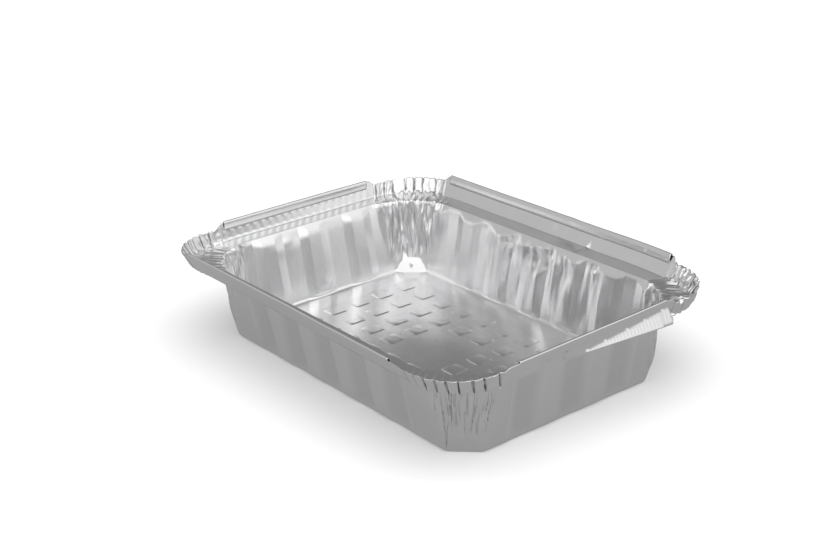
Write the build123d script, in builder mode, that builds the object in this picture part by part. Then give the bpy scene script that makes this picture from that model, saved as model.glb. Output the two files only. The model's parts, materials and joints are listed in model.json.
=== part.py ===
from build123d import *
import os
from math import atan, cos, degrees, radians, sin, sqrt, tan

# Foil tray, pressed from one blank: a fluted tub with a ledge at its mouth, an upstand
# round the ledge and a rolled hem on each straight side. The corners have no hem and are pleated.
# Origin at the centre of the base, X along the tray, Y across it, Z up.

foil = 0.1  # gauge of the sheet

# Ledge round the mouth, where a lid lies
rim_length = 217.0  # at the ledge's outer edge
rim_width = 155.0
rim_radius = 20.0
ledge_height = 38.9
end_ledge = 9.25  # width of the ledge at the short ends
side_ledge = 9.5  # width of the ledge along the long sides
mouth_radius = 30.0

# Walls of the tub
end_taper = 7.75  # how far each short wall leans out from base to ledge
side_taper = 8.0  # the same for each long wall
base_radius = 14.0  # wall corners, in plan, at the base
base_edge = 2.5  # rounding between floor and wall

# Flutes in the walls: flats pressed inwards, with panels left between them
flute_depth = 1.5
flute_flat = 7.5
flute_slant = 5.2  # width of each slanting side
long_pitch = 25.4
short_pitch = 28.0

# Smooth band between the flutes' scalloped tops and the ledge
band_depth = 6.0
band_lean = 30.0  # degrees from upright
band_step = 0.3  # how far the band's top stands outside the panels

# Pleats gathered at the corners
wall_pleats = 7
wall_pleat_depth = 0.7
rim_pleats = 10
rim_pleat_depth = 0.6

# Flat facet pressed into the foot of each corner
facet_leg = 12.5  # cut from each side of the base corner
facet_height = 7.0
facet_step = 0.75  # depth of the step at its top

# Floor: a raised panel with small square pads, bare in the middle
end_margin = 10.5  # flat margin of the floor at the short ends
side_margin = 8.0  # flat margin of the floor along the long sides
panel_radius = 10.0
panel_height = 0.6
pad_size = 9.6
pad_radius = 2.0
pad_height = 0.5
pad_pitch_x = 15.75
pad_pitch_y = 15.2
pad_margin = 4.5  # least distance from a pad to the panel's edge
emboss_slope = 45.0  # degrees, sides of the panel and pads

# Upstand round the ledge
side_lean = 29.0  # degrees outwards, along the long sides
end_lean = 9.6  # degrees outwards, at the short ends
rim_spread = 0.2  # growth of the corner radius for each mm up
crimp_height = 6.8  # upstand at the corners, above the ledge
flange_height = 9.4  # upstand under the hem, above the ledge
shoulder = 4.0  # length of the curved drop from a hem's end to the corner

# Hem rolled over inwards on the straight sides
long_hem_stop = 11.5  # from the hem's end to the corner's curve, on the long sides
short_hem_stop = 13.5  # the same at the short ends
hem_radius = 0.6
hem_return = 4.2

overshoot = 1.0  # how far cutting shapes pass a surface, and how far joined sheets overlap

mouth_length = rim_length - 2 * end_ledge
mouth_width = rim_width - 2 * side_ledge
base_length = mouth_length - 2 * end_taper
base_width = mouth_width - 2 * side_taper
panel_length = base_length - 2 * end_margin
panel_width = base_width - 2 * side_margin
wall_run_x = end_taper - band_step
wall_run_y = side_taper - band_step
wall_slope = (wall_run_x + wall_run_y) / 2 / ledge_height
draft = degrees(atan(wall_slope))
edge_turn = 90 - draft
edge_setback = base_edge * tan(radians(edge_turn / 2))
emboss_growth = foil * tan(radians(emboss_slope / 2))


def flute_row(mouth, pitch):
    """Centres of the flutes along a wall: as many as its straight stretch holds, one in the middle."""
    room = mouth / 2 - mouth_radius - flute_flat / 2 - flute_slant
    each_way = int(room / pitch)
    return [i * pitch for i in range(-each_way, each_way + 1)]


def pad_count(panel, pitch):
    """An even number of pads, as many as fit across the panel."""
    room = panel / 2 - pad_margin - pad_size / 2
    return 2 * int(room / pitch + 0.5)


def side_points(straight, reach, centres, depth):
    """One side of a plan outline, as (along, outwards) points, with its flats pressed in by depth."""
    points = [(-straight, reach)]
    for centre in centres:
        near = flute_flat / 2
        far = near + flute_slant
        points += [(centre - far, reach), (centre - near, reach - depth)]
        points += [(centre + near, reach - depth), (centre + far, reach)]
    points.append((straight, reach))
    return points


def corner_points(straight, reach, radius, pleats, depth):
    """The corner that follows a side, as points on an arc with every other one pressed in."""
    points = []
    for i in range(1, 2 * pleats):
        angle = radians(90 * i / (2 * pleats))
        r = radius - depth * (i % 2)
        points.append((straight + r * sin(angle), reach - radius + r * cos(angle)))
    return points


def plan_points(half_length, half_width, radius, flutes, pleats, pleat_depth):
    """A closed plan outline: four sides, fluted or plain, and four pleated corners."""
    short = flute_row(mouth_width, short_pitch) if flutes else []
    long = flute_row(mouth_length, long_pitch) if flutes else []
    points = []
    for turn in range(4):
        lengthwise = turn % 2 == 1
        straight = (half_length if lengthwise else half_width) - radius
        reach = half_width if lengthwise else half_length
        side = side_points(straight, reach, long if lengthwise else short, flute_depth)
        side += corner_points(straight, reach, radius, pleats, pleat_depth)
        out_x, out_y = cos(radians(90 * turn)), sin(radians(90 * turn))
        points += [(out * out_x - along * out_y, out * out_y + along * out_x) for along, out in side]
    return points


def plan_face(height, points):
    """A closed outline as a face at a height."""
    with BuildSketch(Plane.XY.offset(height)) as plan:
        with BuildLine():
            Polyline(*points, close=True)
        make_face()
    return plan.sketch


def tub_level(height, inset):
    """The fluted wall's outline at a height, set in from the wall's outer face."""
    up = height / ledge_height
    half_length = base_length / 2 + wall_run_x * up - inset
    half_width = base_width / 2 + wall_run_y * up - inset
    radius = base_radius + (mouth_radius - band_step - base_radius) * up - inset
    pleat = wall_pleat_depth * max(up, 0)
    return plan_face(height, plan_points(half_length, half_width, radius, True, wall_pleats, pleat))


def tub_body(inside, top):
    """The fluted tub from its floor to a height, inside being the gauge for its inner face."""
    levels = []
    for step in range(3):
        angle = radians(edge_turn * step / 2)
        height = base_edge - (base_edge - inside) * cos(angle)
        inset = wall_slope * height + edge_setback - (base_edge - inside) * sin(angle)
        levels.append(tub_level(height, inset))
    levels.append(tub_level(top, inside / cos(radians(draft))))
    loft(levels, ruled=True)


def band_body(inside, top):
    """The plain band that flares from the flutes to the ledge."""
    levels = []
    for height in (ledge_height - band_depth, top):
        out = (height - ledge_height) * tan(radians(band_lean)) - inside / cos(radians(band_lean))
        with BuildSketch(Plane.XY.offset(height)) as level:
            RectangleRounded(mouth_length + 2 * out, mouth_width + 2 * out, mouth_radius + out)
        levels.append(level.sketch)
    loft(levels, ruled=True)


def rim_body(inside, bottom, top):
    """The space inside the upstand, or the upstand filled, between two heights."""
    levels = []
    for height in (bottom, top):
        up = height - ledge_height
        half_length = rim_length / 2 + up * tan(radians(end_lean)) - inside / cos(radians(end_lean))
        half_width = rim_width / 2 + up * tan(radians(side_lean)) - inside / cos(radians(side_lean))
        radius = rim_radius + up * rim_spread - inside
        points = plan_points(half_length, half_width, radius, False, rim_pleats, rim_pleat_depth)
        levels.append(plan_face(height, points))
    loft(levels, ruled=True)


def cut_facets(inside):
    """Cuts the flat facet from the foot of each corner."""
    wall_at_base = -(sqrt(2) - 1) * base_radius
    radius_slope = (mouth_radius - band_step - base_radius) / ledge_height
    wall_growth = sqrt(2) * wall_slope - (sqrt(2) - 1) * radius_slope
    foot = -facet_leg / sqrt(2)
    head = wall_at_base + wall_growth * facet_height - facet_step
    slope = (head - foot) / facet_height
    shift = inside * sqrt(1 + slope**2)
    reach = facet_leg
    for x, y in ((1, 1), (-1, 1), (-1, -1), (1, -1)):
        outwards = Vector(x, y, 0).normalized()
        corner = Vector(x * base_length / 2, y * base_width / 2, 0) - outwards * shift
        across = outwards.cross(Vector(0, 0, 1))
        with BuildSketch(Plane(origin=corner, x_dir=outwards, z_dir=across)) as wedge:
            with BuildLine():
                Polyline(
                    (foot - slope * overshoot, -overshoot),
                    (head, facet_height),
                    (head + reach, facet_height + reach),
                    (head + reach, -overshoot),
                    close=True,
                )
            make_face()
        extrude(wedge.sketch, amount=2 * facet_leg, both=True, mode=Mode.SUBTRACT)


def cut_floor(inside):
    """Lifts the floor's panel and its pads, by cutting them from the underside or the hollow."""
    growth = emboss_growth if inside else 0
    with BuildSketch(Plane.XY.offset(inside)) as panel:
        RectangleRounded(panel_length + 2 * growth, panel_width + 2 * growth, panel_radius + growth)
    extrude(panel.sketch, amount=panel_height, taper=emboss_slope, mode=Mode.SUBTRACT)
    columns = pad_count(panel_length, pad_pitch_x)
    rows = pad_count(panel_width, pad_pitch_y)
    with BuildSketch(Plane.XY.offset(inside + panel_height)) as pads:
        for place in GridLocations(pad_pitch_x, pad_pitch_y, columns, rows):
            bare = abs(place.position.X) < pad_pitch_x and abs(place.position.Y) < pad_pitch_y
            if not bare:
                with Locations(place):
                    RectangleRounded(pad_size + 2 * growth, pad_size + 2 * growth, pad_radius + growth)
    extrude(pads.sketch, amount=pad_height, taper=emboss_slope, mode=Mode.SUBTRACT)


def hemmed_side(outwards, reach, lean, end):
    """The upper upstand and rolled hem on one straight side, end being half the hem's length."""
    up = Vector(0, 0, 1) * cos(radians(lean)) + outwards * sin(radians(lean))
    along = Vector(outwards.Y, -outwards.X, 0)
    sheet = Plane(origin=outwards * reach + Vector(0, 0, ledge_height), x_dir=along, z_dir=along.cross(up))
    low = crimp_height / cos(radians(lean))
    high = flange_height / cos(radians(lean))
    with BuildSketch(sheet) as upper:
        with BuildLine():
            Line((-end, high), (end, high))
            Spline((end, high), (end + shoulder, low), tangents=((1, 0), (1, 0)))
            Polyline(
                (end + shoulder, low),
                (end + shoulder, low - overshoot),
                (-end - shoulder, low - overshoot),
                (-end - shoulder, low),
            )
            Spline((-end - shoulder, low), (-end, high), tangents=((1, 0), (1, 0)))
        make_face()
    extrude(upper.sketch, amount=foil)
    section = Plane(origin=sheet.from_local_coords((0, high, 0)), x_dir=-sheet.z_dir, z_dir=along)
    inner = hem_radius - foil / 2
    outer = hem_radius + foil / 2
    with BuildSketch(section) as curl:
        with BuildLine():
            Polyline((0, 0), (0, -overshoot), (-foil, -overshoot), (-foil, 0))
            CenterArc((-outer, 0), inner, 0, 180)
            Polyline(
                (-outer - inner, 0),
                (-outer - inner, -hem_return),
                (-2 * outer, -hem_return),
                (-2 * outer, 0),
            )
            CenterArc((-outer, 0), outer, 180, -180)
        make_face()
    extrude(curl.sketch, amount=end, both=True)


with BuildPart() as hollow:
    tub_body(foil, ledge_height + overshoot)
    band_body(foil, ledge_height + overshoot)
    cut_facets(foil)
    cut_floor(foil)
    rim_body(foil, ledge_height, ledge_height + crimp_height + overshoot)

with BuildPart() as tray:
    tub_body(0, ledge_height)
    band_body(0, ledge_height)
    cut_facets(0)
    cut_floor(0)
    rim_body(0, ledge_height - foil, ledge_height + crimp_height)
    add(hollow.part, mode=Mode.SUBTRACT)
    for side in (1, -1):
        long_end = rim_length / 2 - rim_radius - long_hem_stop
        short_end = rim_width / 2 - rim_radius - short_hem_stop
        hemmed_side(Vector(0, side, 0), rim_width / 2, side_lean, long_end)
        hemmed_side(Vector(side, 0, 0), rim_length / 2, end_lean, short_end)

os.makedirs("parts", exist_ok=True)
tray.part.label = "tray"
export_step(tray.part, "parts/tray.step")
print("tray volume", round(tray.part.volume, 1), "mm3, solids", len(tray.part.solids()))
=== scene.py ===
import bpy
import bmesh
import json
from math import cos, exp, pi, radians, sin, sqrt, tan
from mathutils import Matrix, Vector, noise

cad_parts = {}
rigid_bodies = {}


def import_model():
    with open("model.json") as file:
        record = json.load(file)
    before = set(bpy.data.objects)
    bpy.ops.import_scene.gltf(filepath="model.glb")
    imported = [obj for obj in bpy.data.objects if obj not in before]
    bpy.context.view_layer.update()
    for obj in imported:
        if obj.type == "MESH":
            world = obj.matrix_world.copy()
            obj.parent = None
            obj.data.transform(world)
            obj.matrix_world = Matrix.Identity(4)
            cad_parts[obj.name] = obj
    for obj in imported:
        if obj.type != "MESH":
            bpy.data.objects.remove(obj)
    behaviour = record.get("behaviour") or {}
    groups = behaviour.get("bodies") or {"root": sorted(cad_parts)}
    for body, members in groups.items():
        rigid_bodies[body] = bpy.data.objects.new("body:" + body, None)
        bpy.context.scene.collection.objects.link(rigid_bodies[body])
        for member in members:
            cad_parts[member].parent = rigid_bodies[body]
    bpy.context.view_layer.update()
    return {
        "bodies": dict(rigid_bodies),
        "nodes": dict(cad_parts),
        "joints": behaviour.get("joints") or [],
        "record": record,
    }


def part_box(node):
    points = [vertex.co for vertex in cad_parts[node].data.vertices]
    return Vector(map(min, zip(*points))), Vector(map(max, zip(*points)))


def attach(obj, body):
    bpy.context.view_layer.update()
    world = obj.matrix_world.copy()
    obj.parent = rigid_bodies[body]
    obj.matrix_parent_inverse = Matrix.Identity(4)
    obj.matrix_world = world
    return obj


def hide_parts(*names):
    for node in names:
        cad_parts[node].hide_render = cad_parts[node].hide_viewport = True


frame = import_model()
boxLow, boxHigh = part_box("tray")
mm = 0.001  # the tray is shaped in millimetres and scaled to metres at the end

# the pressed sheet, before any crumpling
tray = {
    "gauge": 0.1,
    "ledgeHeight": 38.9,
    "flangeHeight": 9.4,  # above the ledge, on the hemmed sides
    "crimpHeight": 6.8,  # above the ledge, round the corners
    "endLean": 9.6,  # degrees outwards
    "sideLean": 29.0,
    "endLedge": 9.25,
    "sideLedge": 9.5,
    "endTaper": 7.75,
    "sideTaper": 8.0,
    "rimRadius": 24.0,
    "rimSpread": 0.2,
    "mouthRadius": 30.0,
    "baseRadius": 14.0,
    "baseEdge": 2.5,
    "fluteDepth": 1.1,
    "fluteFlat": 7.5,
    "fluteSlant": 5.2,
    "longPitch": 25.4,
    "shortPitch": 28.0,
    "bandStep": 0.3,
    "bandSlope": 0.377,
    "facetLeg": 12.5,
    "facetHeight": 7.0,
    "facetStep": 0.75,
    "endMargin": 10.5,
    "sideMargin": 8.0,
    "panelHeight": 0.6,
    "panelRadius": 10.0,
    "padSize": 9.6,
    "padCorner": 2.0,
    "padBevel": 0.75,
    "padHeight": 0.38,
    "padPitch": (15.75, 15.2),
    "padCount": (10, 6),
    "hemRadius": 0.7,
    "hemReturn": 4.2,
}

# where the upstand stands full height, and where its edge is rolled, along each side
hems = [
    {"full": (-47.5, 43.0), "rolled": (-44.2, 41.0)},
    {"full": (-75.4, 82.5), "rolled": (-74.6, 81.5)},
    {"full": (-44.6, 46.6), "rolled": (-43.8, 45.8)},
    {"full": (-82.4, 74.0), "rolled": (-81.8, 70.7)},
]
hemFall = 4.4
droop = {"depth": 1.9, "from": 35.0, "to": 130.0}  # the hems sag towards one corner, measured from it

# how many mesh lines share each feature
lines = {
    "corner": 40,  # one corner with the plain wall on both sides of it
    "flat": 4,
    "slant": 2,
    "longPanel": 4,
    "shortPanel": 4,
    "splitCorner": 3,  # cuts made in each corner edge above the floor
    "splitSide": (1, 1, 0, 0),
    "baseTurn": 4,
    "lowWall": 4,
    "midWall": 9,
    "highWall": 6,
    "hemRoll": 6,
}

rimX = boxHigh.x / mm - tan(radians(tray["endLean"])) * tray["flangeHeight"]
rimY = boxHigh.y / mm - tan(radians(tray["sideLean"])) * tray["flangeHeight"]
mouthX = rimX - tray["endLedge"]
mouthY = rimY - tray["sideLedge"]
baseX = mouthX - tray["endTaper"]
baseY = mouthY - tray["sideTaper"]
panelX = baseX - tray["endMargin"]
panelY = baseY - tray["sideMargin"]
ledge = tray["ledgeHeight"]
runX = tray["endTaper"] - tray["bandStep"]
runY = tray["sideTaper"] - tray["bandStep"]
slope = ((runX + runY) / 2) / ledge
setback = tray["baseEdge"] * tan(pi / 4 - slope / 2)

# sides in order: +X, +Y, -X, -Y, walked anticlockwise
outwards = [Vector((1, 0)), Vector((0, 1)), Vector((-1, 0)), Vector((0, -1))]
alongs = [Vector((0, 1)), Vector((-1, 0)), Vector((0, -1)), Vector((1, 0))]


def clamp(x):
    return min(max(x, 0.0), 1.0)


def ramp(low, high, x):
    return clamp((x - low) / (high - low))


def ease(low, high, x):
    t = ramp(low, high, x)
    return t * t * (3 - 2 * t)


def ridge(x):
    # triangle wave from -1 to 1, one crest for each whole number
    return 4 * abs(x - int(x // 1) - 0.5) - 1


def bell(x, width):
    return exp(-(x / width) ** 2)


def wave(x, y, z):
    return noise.noise(Vector((x, y, z)))


def divide(stops):
    marks = []
    for (here, steps), (there, _) in zip(stops, stops[1:]):
        marks += [here + (there - here) * i / steps for i in range(steps)]
    return marks + [stops[-1][0]]


def fluteLines(pitch, eachWay, panelSteps):
    near = tray["fluteFlat"] / 2
    far = near + tray["fluteSlant"]
    stops = []
    for i in range(-eachWay, eachWay + 1):
        stops += [(i * pitch - far, lines["slant"]), (i * pitch - near, lines["flat"])]
        stops += [(i * pitch + near, lines["slant"]), (i * pitch + far, panelSteps)]
    return divide(stops)


def padLines(axis, edge, inside, gap, margin):
    reach = tray["padSize"] / 2
    bevel = tray["padBevel"]
    turn = tray["padCorner"]
    count = tray["padCount"][axis]
    stops = [(-edge, margin)]
    for i in range(count):
        centre = (i - (count - 1) / 2) * tray["padPitch"][axis]
        stops += [(centre - reach, 2), (centre - reach + bevel, 1), (centre - reach + turn, inside)]
        stops += [(centre + reach - turn, 1), (centre + reach - bevel, 2)]
        stops += [(centre + reach, gap if i < count - 1 else margin)]
    return divide(stops + [(edge, 0)])


shortLines = fluteLines(tray["shortPitch"], 1, lines["shortPanel"])
longLines = fluteLines(tray["longPitch"], 2, lines["longPanel"])
floorX = padLines(0, 76.8, 1, 2, 4)
floorY = padLines(1, 47.5, 2, 4, 2)
halfCorner = lines["corner"] // 2
wallLines = [shortLines, longLines] * 2
sideSteps = [len(floorY) - 1, len(floorX) - 1] * 2


def outline(side, step, reachX, reachY, radius):
    # where a mesh line meets a rounded outline: place, way out, side, way along it, share of the corner
    fixed = wallLines[side]
    last = halfCorner + len(fixed) - 1
    if halfCorner <= step <= last:
        i = min(int(step) - halfCorner, len(fixed) - 2)
        along = fixed[i] + (fixed[i + 1] - fixed[i]) * (step - halfCorner - i)
        out = reachX if side % 2 == 0 else reachY
        return outwards[side] * out + alongs[side] * along, outwards[side], side, along, None
    if step < halfCorner:
        side = (side + 3) % 4
        share = 0.5 + step / lines["corner"]
    else:
        share = (step - last) / lines["corner"]
    out, halfAlong = (reachX, reachY) if side % 2 == 0 else (reachY, reachX)
    start = wallLines[side][-1]
    before = halfAlong - radius - start
    after = out - radius - wallLines[(side + 1) % 4][-1]
    arc = radius * pi / 2
    way = share * (before + arc + after)
    if way < before:
        local = (start + way, out, 0, 1)
    elif way < before + arc:
        angle = (way - before) / radius
        across = halfAlong - radius + radius * sin(angle)
        local = (across, out - radius + radius * cos(angle), sin(angle), cos(angle))
    else:
        local = (halfAlong, out - radius - (way - before - arc), 1, 0)
    place = outwards[side] * local[1] + alongs[side] * local[0]
    normal = outwards[side] * local[3] + alongs[side] * local[2]
    return place, normal, side, local[0], share


def fromLongSide(side, share):
    return share if side % 2 else 1 - share


def fluteAt(side, along, share):
    # 1 on the flats pressed inwards, 0 on the panels between
    near = tray["fluteFlat"] / 2
    if share is None:
        pitch = tray["longPitch"] if side % 2 else tray["shortPitch"]
        off = abs(along - round(along / pitch) * pitch)
        return 1 - ramp(near, near + tray["fluteSlant"], off)
    off = abs(fromLongSide(side, share) - 0.275) * 58
    return 1 - ramp(near - 1, near - 1 + tray["fluteSlant"], off)


# how hard each corner was crushed, named for the side before it
corners = [
    {"seed": 3.0, "wall": 1.0, "rim": 1.5, "ledge": 1.9, "crush": 1.0},
    {"seed": 11.0, "wall": 1.0, "rim": 1.0, "ledge": 0.9, "crush": 0.0},
    {"seed": 23.0, "wall": 0.9, "rim": 1.0, "ledge": 0.9, "crush": 0.0},
    {"seed": 37.0, "wall": 1.1, "rim": 1.0, "ledge": 0.8, "crush": 0.0},
]


def pleats(side, share, height):
    # upright creases, sharp where the foil doubled up, closing towards the facet below
    corner = corners[side]
    seed = corner["seed"]
    up = height / ledge
    q = fromLongSide(side, share)
    window = ease(0.4 - 0.21 * up, 0.48 - 0.17 * up, q) * (1 - ease(0.72 + 0.14 * up, 0.8 + 0.17 * up, q))
    window *= ease(0.1, 0.35, up)
    lean = share + 0.03 * wave(share * 5, height * 0.06, seed)
    coarse = 0.42 - 1.5 * abs(wave(lean * 15, height * 0.05, seed + 1))
    fine = 0.35 - 1.5 * abs(wave(lean * 34, height * 0.08, seed + 4))
    fold = ridge(lean * 10 + 0.7 * wave(share * 5, height * 0.035, seed + 8))
    return -window * corner["wall"] * (1.7 * coarse + 0.9 * fine + 0.45 * fold)


def deepCrease(side, share, height):
    # one long fold down the near corner
    if side != 3:
        return 0.0
    up = height / ledge
    centre = 0.40 + 0.13 * up + 0.006 * wave(height * 0.25, 0.0, 4.0)
    depth = (0.8 + 0.9 * abs(up - 0.5)) * ease(0.04, 0.12, up)
    return -depth * max(0.0, 1 - abs(share - centre) / 0.014)


def foldList(seed):
    # folds in the upstand round one corner, as distances from the long side's mesh lines
    folds = []
    way = 21.0
    while way < 70:
        depth = 1.15 + 0.9 * wave(way * 0.37, seed, 1.0)
        lean = 1.6 * wave(way * 0.29, seed, 6.0)
        folds.append((way, depth, lean))
        way += 4.4 + 5.5 * abs(wave(way * 0.61, seed, 7.0)) + 3.0 * abs(wave(way * 0.23, seed, 4.0))
    return folds


for corner in corners:
    corner["folds"] = foldList(corner["seed"])
pulledIn = 3.0  # how far the crushed corner's rim was drawn in


def rimFold(side, share, rise):
    # narrow grooves where the upstand doubles on itself, with a tilted flap between each two
    way = fromLongSide(side, share) * 80.8
    total = 0.0
    folds = corners[side]["folds"]
    for centre, depth, lean in folds:
        off = way - centre - lean * (rise / tray["crimpHeight"] - 0.5)
        total += depth * max(0.0, 1 - abs(off) / 0.75)
        total -= 0.35 * max(0.0, 1 - off / 3.5) if off > 0 else 0.0
    return total


def crumple(x, y, z, size):
    # soft hills with sharp valleys between them
    total = 0.0
    depth = 1.0
    for layer in range(3):
        total += depth * abs(wave(x / size, y / size, z / size + 7.3 * layer))
        size *= 0.5
        depth *= 0.5
    return total


def fullHeight(place):
    # 1 where the upstand keeps its full height
    best = 0.0
    for side in range(4):
        out = rimX if side % 2 == 0 else rimY
        if place.dot(outwards[side]) > out - 2.5:
            low, high = hems[side]["full"]
            along = place.dot(alongs[side])
            best = max(best, ease(low - hemFall, low, along) * (1 - ease(high, high + hemFall, along)))
    return best


# dents knocked into the long wall: along X, height, half width, half height, how far in
wallDents = [
    (-21.0, 33.0, 5.0, 5.0, -1.5),
    (-9.0, 33.5, 5.5, 8.0, 1.5),
    (3.0, 30.0, 10.0, 9.0, -2.2),
    (15.0, 31.0, 5.0, 14.0, 1.6),
    (24.0, 29.0, 6.0, 9.0, -1.1),
    (41.0, 33.5, 3.0, 3.0, 1.1),
    (42.5, 30.0, 2.2, 2.2, -0.9),
    (73.5, 34.0, 4.0, 6.5, 0.9),
]


def dentedWall(side, place, height):
    middle = ease(1, 7, height) * ease(0.3, 4, ledge - height)
    total = 0.0
    if side == 1:
        where = ease(-52, -20, place.x) * (1 - ease(40, 66, place.x))
        folds = crumple(place.x * 1.1, height * 0.34, 2.0, 13)
        total -= 1.9 * where * (folds - 0.3) * (0.5 + 0.5 * ease(4, 22, height))
        for x, z, halfWidth, halfHeight, inwards in wallDents:
            total -= inwards * max(0.0, 1 - abs(place.x - x) / halfWidth - abs(height - z) / halfHeight)
    if side == 2:
        top = bell(place.y + 16, 8) * bell(height - 31, 5)
        total -= 1.5 * top * crumple(place.y, height, 9.0, 9)
        total -= 0.7 * bell(place.y - 3, 1.5) * bell(height - 7, 1.5)
        total -= 0.4 * bell(place.y + 14, 1.4) * bell(height - 12, 1.4)
    return total * middle


def cutFacet(place, height):
    corner = Vector((baseX if place.x > 0 else -baseX, baseY if place.y > 0 else -baseY))
    diagonal = Vector((1 if place.x > 0 else -1, 1 if place.y > 0 else -1)).normalized()
    growth = sqrt(2) * slope - (sqrt(2) - 1) * (tray["mouthRadius"] - tray["baseRadius"]) / ledge
    foot = -tray["facetLeg"] / sqrt(2)
    head = -(sqrt(2) - 1) * tray["baseRadius"] + growth * tray["facetHeight"] - tray["facetStep"]
    rise = min(height, tray["facetHeight"])
    limit = foot + (head - foot) * rise / tray["facetHeight"] + max(height - tray["facetHeight"], 0) * 1.1
    off = place - corner
    past = off.dot(diagonal) - limit
    if past <= 0:
        return place
    across = off.x * diagonal.y - off.y * diagonal.x
    pip = 0.8 * bell(across, 0.8) * bell(height - 4.9, 0.9)
    return place - diagonal * (past + pip)


def wallPoint(side, step, height, inset):
    up = height / ledge
    radius = tray["baseRadius"] + (tray["mouthRadius"] - tray["bandStep"] - tray["baseRadius"]) * up - inset
    reachX = baseX + runX * up - inset
    reachY = baseY + runY * up - inset
    place, normal, home, along, share = outline(side, step, reachX, reachY, radius)
    depth = ledge - height
    flute = fluteAt(home, along, share) * ramp(0.2, 2.6, height)
    if share is not None:
        flute *= ease(20, 32, height)
    offset = max(-tray["fluteDepth"] * flute, tray["bandStep"] - tray["bandSlope"] * depth)
    if share is not None:
        offset += pleats(home, share, height) + deepCrease(home, share, height)
    offset += 0.3 * wave(place.x / 30, place.y / 30, height / 22) * ease(0, 8, height) * ease(0, 6, depth)
    offset += dentedWall(home, place, height)
    return cutFacet(place + normal * offset, height), height


def cornerWindow(place):
    # 1 in the crimped part of the rim
    return 1 - fullHeight(place)


def ledgePoint(side, step, part):
    reachX = mouthX + (rimX - mouthX) * part
    reachY = mouthY + (rimY - mouthY) * part
    radius = tray["mouthRadius"] + (tray["rimRadius"] - tray["mouthRadius"]) * part
    place, normal, home, along, share = outline(side, step, reachX, reachY, radius)
    height = ledge + 0.12 * wave(place.x / 22, place.y / 22, 5.0)
    if share is not None:
        corner = corners[home]
        q = fromLongSide(home, share)
        window = ease(0.16, 0.3, q) * (1 - ease(0.8, 0.95, q))
        place = place + normal * pleats(home, share, ledge) * (1 - part) ** 2
        place = place - normal * corner["crush"] * pulledIn * bell(share - 0.5, 0.28) * part
        rough = 0.5 - 1.6 * abs(wave(share * 19, part * 0.8, corner["seed"] + 2))
        rough += 0.5 * ridge(share * 17 + 0.6 * wave(share * 8, part, corner["seed"]))
        rough -= 0.9 * abs(wave(share * 40, part * 2.5, corner["seed"] + 6))
        height += 0.55 * corner["ledge"] * window * rough * ease(0, 0.3, part)
        height -= 0.4 * max(rimFold(home, share, 0), 0) * part * part * cornerWindow(place)
        height -= 0.5 * window * bell(part - 0.9, 0.12)
    if home == 1:
        height += 0.9 * bell(place.x - 24.3, 1.3) * part
    return kinked(place, height, 0.0)


def flangePoint(side, step, part):
    place, normal, home, along, share = outline(side, step, rimX, rimY, tray["rimRadius"])
    full = fullHeight(place)
    sag = droop["depth"] * (1 - ramp(droop["from"], droop["to"], (place - Vector((rimX, -rimY))).length))
    rise = part * (tray["crimpHeight"] + (tray["flangeHeight"] - sag - tray["crimpHeight"]) * full)
    reachX = rimX + tan(radians(tray["endLean"])) * rise
    reachY = rimY + tan(radians(tray["sideLean"])) * rise
    radius = tray["rimRadius"] + tray["rimSpread"] * rise
    place, normal, home, along, share = outline(side, step, reachX, reachY, radius)
    offset = 0.25 * wave(place.x / 24, place.y / 24, 2.0) * part
    if share is not None:
        corner = corners[home]
        crimped = 1 - full
        offset -= corner["rim"] * rimFold(home, share, rise) * crimped
        fine = 0.3 - abs(wave(share * 48, rise * 0.18, corner["seed"] + 2))
        crush = 0.4 - 1.3 * abs(wave(share * 22, rise * 0.3, corner["seed"] + 3))
        offset -= corner["crush"] * pulledIn * bell(share - 0.5, 0.28)
        offset += crimped * (0.7 * fine + 1.6 * corner["crush"] * crush)
        rise += crimped * part * (0.5 * wave(share * 30, 1.0, corner["seed"]) - 0.25 * rimFold(home, share, rise))
    if home == 1:
        offset += 0.8 * bell(place.x - 9, 4) * bell(rise - 6, 3) - 1.3 * bell(place.x - 24.3, 1.2) * bell(rise, 2.2)
        offset += 0.5 * bell(place.x - 2, 2.5) * bell(rise - 4, 2.5)
    return kinked(place + normal * offset, ledge + rise, rise)


# one end has been knocked: beyond a kink the ledge's edge is pushed out
knock = {"kink": -18.5, "end": 42.0, "push": 4.8, "height": 6.6, "drop": 1.0, "fold": 1.1}


def kinked(place, height, rise):
    if place.x < rimX - 7 or abs(place.y - 10) > 55:
        return place, height
    near = ease(rimX - 5, rimX - 0.5, place.x)
    share = ramp(knock["kink"], knock["end"], place.y) * (1 - ramp(knock["end"], knock["end"] + 5, place.y))
    # a flat three-cornered face, folded along a line that climbs from the kink to the hem
    low = max(share - rise / knock["height"], 0.0)
    out = knock["push"] * low * near
    # the foil buckled just before the kink
    buckle = bell(place.y - knock["kink"] - 0.5, 1.3) * (1 - ramp(1, 6, rise))
    buckle += 0.5 * bell(place.y - knock["kink"] + 8, 5) * bell(rise - 2, 1.5) * (1 + ridge(place.y * 0.21))
    out -= knock["fold"] * buckle * near
    height -= knock["drop"] * near * low
    return place + Vector((out, 0)), height


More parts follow.
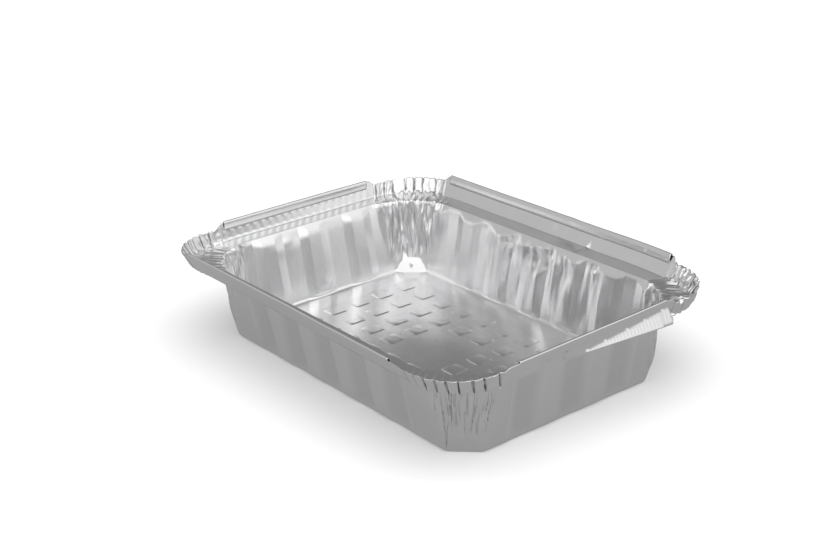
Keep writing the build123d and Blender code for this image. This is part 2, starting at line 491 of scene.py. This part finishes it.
def floorPoint(x, y):
    height = tray["panelHeight"]
    count = tray["padCount"]
    pitch = tray["padPitch"]
    near = []
    for axis, value in ((0, x), (1, y)):
        index = round(value / pitch[axis] + (count[axis] - 1) / 2)
        index = min(max(index, 0), count[axis] - 1)
        near.append((index - (count[axis] - 1) / 2) * pitch[axis])
    bare = abs(near[0]) < pitch[0] and abs(near[1]) < pitch[1]
    if not bare:
        reach = tray["padSize"] / 2 - tray["padCorner"]
        off = Vector((max(abs(x - near[0]) - reach, 0), max(abs(y - near[1]) - reach, 0))).length
        height += tray["padHeight"] * (1 - ramp(tray["padCorner"] - tray["padBevel"], tray["padCorner"], off))
    return height + 0.1 * wave(x / 26, y / 19, 3.0) + 0.03 * wave(x / 8, y / 7, 8.0)


def splitRing(bm, ring):
    # more mesh lines for the crimped corners and the dented sides
    start = ring[0][1].co.copy()
    towards = ring[1][1].co.copy()
    chosen = {}
    keys = []
    for ((side, step), vert), (_, nextVert) in zip(ring, ring[1:] + ring[:1]):
        onWall = halfCorner <= step < halfCorner + len(wallLines[side]) - 1
        cuts = lines["splitSide"][side] if onWall else lines["splitCorner"]
        chosen.setdefault(cuts, []).append(bm.edges.get((vert, nextVert)))
        keys += [(side, step + k / (cuts + 1)) for k in range(cuts + 1)]
    for cuts, edges in chosen.items():
        if cuts:
            bmesh.ops.bisect_edges(bm, edges=edges, cuts=cuts)
    # the split makes every point anew, so the ring is walked again
    rim = {vert for edge in boundary(bm) for vert in edge.verts}
    here = min(rim, key=lambda vert: (vert.co - start).length)
    beside = [edge.other_vert(here) for edge in here.link_edges if edge.is_boundary]
    ahead = min(beside, key=lambda vert: (vert.co - towards).length)
    finer = []
    for key in keys:
        finer.append((key, here))
        beyond = [edge.other_vert(ahead) for edge in ahead.link_edges if edge.is_boundary]
        here, ahead = ahead, next(vert for vert in beyond if vert != here)
    return finer


def boundary(bm):
    return [edge for edge in bm.edges if edge.is_boundary]


def creased(step, side):
    # the flutes' edges are pressed sharp
    fixed = wallLines[side]
    i = step - halfCorner
    if i != int(i) or not 0 <= i < len(fixed):
        return False
    pitch = tray["longPitch"] if side % 2 else tray["shortPitch"]
    off = abs(fixed[int(i)] - round(fixed[int(i)] / pitch) * pitch)
    near = tray["fluteFlat"] / 2
    return abs(off - near) < 0.01 or abs(off - near - tray["fluteSlant"]) < 0.01


def shadowAt(side, step, place, height, kind):
    # painted shade: the base colour is darkened in the upstand's narrow folds, where they close on themselves and
    # hold no light
    home, share = outline(side, step, baseX, baseY, tray["baseRadius"])[2::2]
    if share is None or kind != "flange":
        return 0.0
    return ramp(0.3, 0.9, rimFold(home, share, height - ledge)) * cornerWindow(place)


def paintedFluteSheenAt(side, step, height):
    # painted sheen and shade: the panels are painted lighter and the flutes darker in the base colour, standing in
    # for how their slopes catch the light
    reach = outline(side, step, baseX, baseY, tray["baseRadius"])
    flute = fluteAt(reach[2], reach[3], reach[4])
    if reach[4] is not None:
        return 0.5
    return 0.5 + (0.5 - flute) * ease(1, 6, height) * (1 - ease(ledge - 6, ledge - 2, height))


def buildSheet():
    bm = bmesh.new()
    around = bm.verts.layers.float.new("around")
    knurl = bm.verts.layers.float.new("knurl")
    reeding = bm.verts.layers.float.new("reeding")
    # painted sheen and shade along the walls, lighter on the panels and darker on the flutes
    fluteSheen = bm.verts.layers.float.new("fluteSheen")
    # how far painted shade darkens the base colour in the rim's folds
    shadow = bm.verts.layers.float.new("shadow")

    def plainRow(reachX, reachY, radius, height):
        def row(side, step):
            place = outline(side, step, reachX, reachY, radius)[0]
            return place, height + 0.05 * abs(wave(place.x / 20, place.y / 20, 3.0))
        return row

    def wallRow(height, inset):
        return lambda side, step: wallPoint(side, step, height, inset)

    def ledgeRow(part):
        return lambda side, step: ledgePoint(side, step, part)

    def flangeRow(part):
        return lambda side, step: flangePoint(side, step, part)

    rows = [("floor", plainRow(panelX - 2.3, panelY - 2.3, tray["panelRadius"] - 4, tray["panelHeight"]))]
    rows.append(("floor", plainRow(panelX - 0.8, panelY - 0.8, tray["panelRadius"] - 1, tray["panelHeight"])))
    rows.append(("floor", plainRow(panelX, panelY, tray["panelRadius"], 0.02)))
    rows.append(("split", plainRow(panelX + 3, panelY + 2.2, tray["panelRadius"] + 1.5, 0.0)))
    for turn in range(lines["baseTurn"] + 1):
        angle = (pi / 2 - slope) * turn / lines["baseTurn"]
        height = tray["baseEdge"] * (1 - cos(angle))
        rows.append(("wall", wallRow(height, slope * height + setback - tray["baseEdge"] * sin(angle))))
    level = tray["baseEdge"] * (1 - sin(slope))
    facetTop = tray["facetHeight"]
    stops = [(level, lines["lowWall"]), (facetTop - 0.1, 1), (facetTop + 0.6, lines["midWall"])]
    stops += [(32.0, lines["highWall"]), (ledge, 0)]
    rows += [("wall", wallRow(height, 0.0)) for height in divide(stops)[1:]]
    rows += [("ledge", ledgeRow(part)) for part in (0.12, 0.35, 0.6, 0.82, 0.97)]
    rows += [("flange", flangeRow(part)) for part in (0.045, 0.16, 0.3, 0.44, 0.56, 0.68, 0.8, 0.91, 1.0)]

    bmesh.ops.create_grid(bm, x_segments=len(floorX) - 1, y_segments=len(floorY) - 1, size=1)
    lastX, lastY = len(floorX) - 1, len(floorY) - 1
    grid = {}
    for vert in bm.verts:
        i = round((vert.co.x + 1) / 2 * lastX)
        j = round((vert.co.y + 1) / 2 * lastY)
        grid[i, j] = vert
        vert.co = (floorX[i], floorY[j], floorPoint(floorX[i], floorY[j]))
    ring = [((0, k), grid[lastX, k]) for k in range(lastY)]
    ring += [((1, k), grid[lastX - k, lastY]) for k in range(lastX)]
    ring += [((2, k), grid[0, lastY - k]) for k in range(lastY)]
    ring += [((3, k), grid[k, 0]) for k in range(lastX)]
    edges = boundary(bm)
    for kind, row in rows:
        grown = bmesh.ops.extrude_edge_only(bm, edges=edges)["geom"]
        fresh = {item for item in grown if isinstance(item, bmesh.types.BMVert)}
        raised = []
        for key, vert in ring:
            side, step = key
            rib = next(edge for edge in vert.link_edges if edge.other_vert(vert) in fresh)
            above = rib.other_vert(vert)
            place, height = row(*key)
            above.co = (place.x, place.y, height)
            rib.smooth = not (kind == "wall" and height > 1 and creased(step, side))
            above[fluteSheen] = paintedFluteSheenAt(side, step, height) if kind == "wall" else 0.5
            above[shadow] = shadowAt(side, step, place, height, kind)
            raised.append((key, above))
        ring = raised
        if kind == "split":
            ring = splitRing(bm, ring)
        edges = boundary(bm)
    print("sheet", len(bm.verts), "points in", len(rows), "rings")
    rollHem(bm, ring, edges)
    for vert in bm.verts:
        side = 0 if abs(vert.co.x) - rimX > abs(vert.co.y) - rimY else 1
        vert[around] = vert.co.y if side == 0 else vert.co.x
        ribs = ribsAt(vert.co)
        vert[knurl] = ribs if side == 0 and vert.co.x < 0 else 0.0
        vert[reeding] = ribs - vert[knurl]
    return bm


def ribsAt(co):
    # the lower part of the upstand carries small upright ribs
    rise = co.z - ledge
    return fullHeight(Vector((co.x, co.y))) * ease(0.2, 0.9, rise) * (1 - ease(4.6, 5.4, rise))


def rollHem(bm, ring, edges):
    # the straight sides' top edge is rolled over inwards and pressed down
    frames = {}
    for (side, step), vert in ring:
        place, normal, home, along, share = outline(side, step, rimX, rimY, tray["rimRadius"])
        for face in range(4):
            out = rimX if face % 2 == 0 else rimY
            low, high = hems[face]["rolled"]
            if place.dot(outwards[face]) > out - 0.4 and low <= place.dot(alongs[face]) <= high:
                lean = radians(tray["sideLean"] if face % 2 else tray["endLean"])
                out = Vector((normal.x * cos(lean), normal.y * cos(lean), -sin(lean)))
                up = Vector((normal.x * sin(lean), normal.y * sin(lean), cos(lean)))
                frames[vert] = (vert.co.copy(), out, up)
    radius = tray["hemRadius"]
    turns = [pi * (k + 1) / lines["hemRoll"] for k in range(lines["hemRoll"])]
    path = [(-radius * (1 - cos(angle)), radius * sin(angle)) for angle in turns]
    drop = tray["hemReturn"]
    path += [(-1.9 * radius, -0.25 * drop), (-1.5 * radius, -0.5 * drop), (-0.95 * radius, -0.75 * drop)]
    path += [(-0.35 * radius, -drop)]
    edges = [edge for edge in edges if all(vert in frames for vert in edge.verts)]
    used = {vert for edge in edges for vert in edge.verts}
    frames = {vert: frame for vert, frame in frames.items() if vert in used}
    for inwards, lift in path:
        grown = bmesh.ops.extrude_edge_only(bm, edges=edges)["geom"]
        fresh = {item for item in grown if isinstance(item, bmesh.types.BMVert)}
        edges = [item for item in grown if isinstance(item, bmesh.types.BMEdge)]
        raised = {}
        for vert, (start, out, up) in frames.items():
            above = next(e.other_vert(vert) for e in vert.link_edges if e.other_vert(vert) in fresh)
            above.co = start + out * inwards + up * lift
            raised[above] = (start, out, up)
        frames = raised


def finishSheet(bm):
    bmesh.ops.scale(bm, vec=(mm, mm, mm), verts=bm.verts)
    bmesh.ops.recalc_face_normals(bm, faces=bm.faces)
    middle = min(bm.faces, key=lambda face: face.calc_center_median().length)
    if middle.normal.z > 0:
        bmesh.ops.reverse_faces(bm, faces=bm.faces)
    for face in bm.faces:
        face.smooth = True
    for edge in bm.edges:
        onFloor = max(vert.co.z for vert in edge.verts) < 1.4 * mm
        limit = radians(9) if onFloor and edge.verts[0].co.xy.length < panelX * mm else radians(32)
        if len(edge.link_faces) == 2 and edge.calc_face_angle() > limit:
            edge.smooth = False
    mesh = bpy.data.meshes.new("foilTray")
    bm.to_mesh(mesh)
    bm.free()
    piece = bpy.data.objects.new("foil_tray", mesh)
    bpy.context.collection.objects.link(piece)
    thick = piece.modifiers.new("gauge", "SOLIDIFY")
    thick.thickness = tray["gauge"] * mm
    thick.offset = -1
    return piece


def addNode(tree, kind, settings=(), **links):
    node = tree.nodes.new(kind)
    for name, value in settings:
        if isinstance(name, int) or name in node.inputs:
            node.inputs[name].default_value = value
        else:
            setattr(node, name, value)
    for name, socket in links.items():
        tree.links.new(socket, node.inputs[name])
    return node


foil = {
    "bright": (0.9, 0.9, 0.905, 1),
    "dull": (0.71, 0.71, 0.715, 1),
    # painted shade for the narrow folds
    "paintedFoldShade": (0.16, 0.16, 0.165, 1),
    "roughness": 0.24,
    "spread": 0.08,
    "reed": 1.9,  # millimetres between the fine upright lines
    "rib": 4.7,  # and between the ribs
    "reedDepth": 0.000012,
    "ribDepth": 0.00007,
    "grainDepth": 0.000012,
}


def stripes(tree, period, twist):
    # upright lines along a side, thinned out by a mask attribute
    around = addNode(tree, "ShaderNodeAttribute", [("attribute_name", "around")])
    turns = addNode(tree, "ShaderNodeMath", [("operation", "MULTIPLY_ADD"), (1, 2 * pi / period)])
    tree.links.new(around.outputs["Fac"], turns.inputs[0])
    tree.links.new(twist, turns.inputs[2])
    crest = addNode(tree, "ShaderNodeMath", [("operation", "SINE")])
    tree.links.new(turns.outputs[0], crest.inputs[0])
    return crest.outputs[0]


def masked(tree, height, name):
    mask = addNode(tree, "ShaderNodeAttribute", [("attribute_name", name)])
    product = addNode(tree, "ShaderNodeMath", [("operation", "MULTIPLY")])
    tree.links.new(height, product.inputs[0])
    tree.links.new(mask.outputs["Fac"], product.inputs[1])
    return product.outputs[0]


def makeFoil():
    material = bpy.data.materials.new("satin foil")
    material.use_nodes = True
    tree = material.node_tree
    shader = tree.nodes["Principled BSDF"]
    shader.inputs["Metallic"].default_value = 1.0
    place = addNode(tree, "ShaderNodeTexCoord").outputs["Object"]
    mottle = addNode(tree, "ShaderNodeTexNoise", [("Scale", 60.0), ("Detail", 4.0)], Vector=place).outputs["Fac"]
    grain = addNode(tree, "ShaderNodeTexNoise", [("Scale", 2600.0), ("Detail", 2.0)], Vector=place).outputs["Fac"]
    stretch = addNode(tree, "ShaderNodeMapping", [("Scale", (900.0, 900.0, 25.0))], Vector=place).outputs["Vector"]
    drawn = addNode(tree, "ShaderNodeTexNoise", [("Scale", 1.0), ("Detail", 3.0)], Vector=stretch).outputs["Fac"]
    # painted sheen and shade: the flutes darken and the panels lighten the base colour between dull and bright,
    # with random mottle on top
    fluteSheen = addNode(tree, "ShaderNodeAttribute", [("attribute_name", "fluteSheen")]).outputs["Fac"]
    shade = addNode(tree, "ShaderNodeMath", [("operation", "MULTIPLY_ADD"), (1, 0.3)])
    tree.links.new(mottle, shade.inputs[0])
    level = addNode(tree, "ShaderNodeMath", [("operation", "MULTIPLY_ADD"), (1, 0.45), (2, 0.1)])
    tree.links.new(fluteSheen, level.inputs[0])
    tree.links.new(level.outputs[0], shade.inputs[2])
    tone = addNode(tree, "ShaderNodeMix", [("data_type", "RGBA"), (6, foil["dull"]), (7, foil["bright"])])
    tree.links.new(shade.outputs[0], tone.inputs[0])
    # painted shade: the base colour is drawn towards a dark grey in the rim's narrow folds
    foldShadeMask = addNode(tree, "ShaderNodeAttribute", [("attribute_name", "shadow")]).outputs["Fac"]
    seen = addNode(tree, "ShaderNodeMix", [("data_type", "RGBA"), (7, foil["paintedFoldShade"])])
    tree.links.new(foldShadeMask, seen.inputs[0])
    tree.links.new(tone.outputs[2], seen.inputs[6])
    tree.links.new(seen.outputs[2], shader.inputs["Base Color"])
    low = foil["roughness"] - foil["spread"] / 2
    high = foil["roughness"] + foil["spread"] / 2
    rough = addNode(tree, "ShaderNodeMapRange", [("To Min", low), ("To Max", high)], Value=drawn)
    tree.links.new(rough.outputs["Result"], shader.inputs["Roughness"])
    twist = addNode(tree, "ShaderNodeMath", [("operation", "MULTIPLY"), (1, 9.0)])
    tree.links.new(mottle, twist.inputs[0])
    reeds = masked(tree, stripes(tree, foil["reed"], twist.outputs[0]), "reeding")
    ribs = masked(tree, stripes(tree, foil["rib"], mottle), "knurl")
    bump = addNode(tree, "ShaderNodeBump", [("Distance", foil["grainDepth"])], Height=grain)
    bump = addNode(tree, "ShaderNodeBump", [("Distance", foil["reedDepth"])], Height=reeds, Normal=bump.outputs[0])
    bump = addNode(tree, "ShaderNodeBump", [("Distance", foil["ribDepth"])], Height=ribs, Normal=bump.outputs[0])
    tree.links.new(bump.outputs["Normal"], shader.inputs["Normal"])
    return material


studio = {
    "floorShown": 0.9,
    "floorMirrored": 0.1,  # how the foil sees the floor, with an even glow
    "floorGlow": 0.3,
    "dark": 0.22,
    "front": 1.05,
    "frontWay": (0.66, -0.52, 0.54),
    "left": 0.35,
    "leftWay": (-0.75, -0.6, 0.28),
    "right": 0.62,
    "rightWay": (0.76, 0.6, 0.3),
    "topPower": 22.0,
}


def makeFloor():
    bm = bmesh.new()
    bmesh.ops.create_grid(bm, x_segments=1, y_segments=1, size=4)
    mesh = bpy.data.meshes.new("studioFloor")
    bm.to_mesh(mesh)
    bm.free()
    ground = bpy.data.objects.new("studio_floor", mesh)
    bpy.context.collection.objects.link(ground)
    material = bpy.data.materials.new("pale floor")
    material.use_nodes = True
    tree = material.node_tree
    shader = tree.nodes["Principled BSDF"]
    shown = studio["floorShown"]
    mirrored = studio["floorMirrored"]
    ray = addNode(tree, "ShaderNodeLightPath")
    colours = [("data_type", "RGBA"), (6, (shown, shown, shown, 1)), (7, (mirrored, mirrored, mirrored, 1))]
    mix = addNode(tree, "ShaderNodeMix", colours)
    tree.links.new(ray.outputs["Is Glossy Ray"], mix.inputs[0])
    tree.links.new(mix.outputs[2], shader.inputs["Base Color"])
    glow = addNode(tree, "ShaderNodeMath", [("operation", "MULTIPLY"), (1, studio["floorGlow"])])
    tree.links.new(ray.outputs["Is Glossy Ray"], glow.inputs[0])
    tree.links.new(glow.outputs[0], shader.inputs["Emission Strength"])
    shader.inputs["Emission Color"].default_value = (1, 1, 1, 1)
    shader.inputs["Roughness"].default_value = 0.9
    shader.inputs["Specular IOR Level"].default_value = 0.0
    mesh.materials.append(material)


def glow(tree, direction, way, strength, low, high):
    # a soft broad light on one side of the room
    facing = addNode(tree, "ShaderNodeVectorMath", [("operation", "DOT_PRODUCT")])
    facing.inputs[1].default_value = Vector(way).normalized()
    tree.links.new(direction, facing.inputs[0])
    spread = addNode(tree, "ShaderNodeMapRange", [("interpolation_type", "SMOOTHSTEP")])
    spread.inputs["From Min"].default_value = low
    spread.inputs["From Max"].default_value = high
    spread.inputs["To Max"].default_value = strength
    tree.links.new(facing.outputs["Value"], spread.inputs["Value"])
    return spread.outputs["Result"]


def makeStudio():
    makeFloor()
    world = bpy.data.worlds.new("studio")
    world.use_nodes = True
    tree = world.node_tree
    direction = addNode(tree, "ShaderNodeTexCoord").outputs["Generated"]
    front = glow(tree, direction, studio["frontWay"], studio["front"], 0.25, 0.9)
    left = glow(tree, direction, studio["leftWay"], studio["left"], 0.3, 0.95)
    right = glow(tree, direction, studio["rightWay"], studio["right"], 0.45, 0.95)
    total = addNode(tree, "ShaderNodeValue").outputs[0]
    total.default_value = studio["dark"]
    for light in (front, left, right):
        both = addNode(tree, "ShaderNodeMath", [("operation", "ADD")])
        tree.links.new(light, both.inputs[0])
        tree.links.new(total, both.inputs[1])
        total = both.outputs[0]
    tree.links.new(total, tree.nodes["Background"].inputs["Strength"])
    tree.nodes["Background"].inputs["Color"].default_value = (1, 1, 1, 1)
    bpy.context.scene.world = world
    # the large box overhead lights the floor and stays out of the foil
    data = bpy.data.lights.new("top box", "AREA")
    data.size = 2.4
    data.energy = studio["topPower"]
    lamp = bpy.data.objects.new("top_box", data)
    lamp.location = (0, 0, 1.6)
    lamp.visible_glossy = False
    bpy.context.collection.objects.link(lamp)
    bpy.context.scene.view_settings.view_transform = "Standard"


cameraView = {
    "place": (0.50651, -0.40462, 0.30514),
    "turn": 52.06,  # degrees
    "pitch": 22.37,
    "roll": -2.22,
    "lens": 64.48,
}


def makeCamera():
    turn, pitch, roll = (radians(cameraView[name]) for name in ("turn", "pitch", "roll"))
    ahead = Vector((-sin(turn) * cos(pitch), cos(turn) * cos(pitch), -sin(pitch)))
    level = Vector((cos(turn), sin(turn), 0))
    upright = level.cross(ahead)
    right = level * cos(roll) + upright * sin(roll)
    up = upright * cos(roll) - level * sin(roll)
    data = bpy.data.cameras.new("camera")
    data.lens = cameraView["lens"]
    data.sensor_width = 36
    camera = bpy.data.objects.new("camera", data)
    turned = Matrix((right, up, -ahead)).transposed().to_4x4()
    camera.matrix_world = Matrix.Translation(cameraView["place"]) @ turned
    bpy.context.collection.objects.link(camera)
    bpy.context.scene.camera = camera


sheet = finishSheet(buildSheet())
sheet.data.materials.append(makeFoil())
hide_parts("tray")
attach(sheet, "root")
print("tray faces", len(sheet.data.polygons))
makeStudio()
makeCamera()
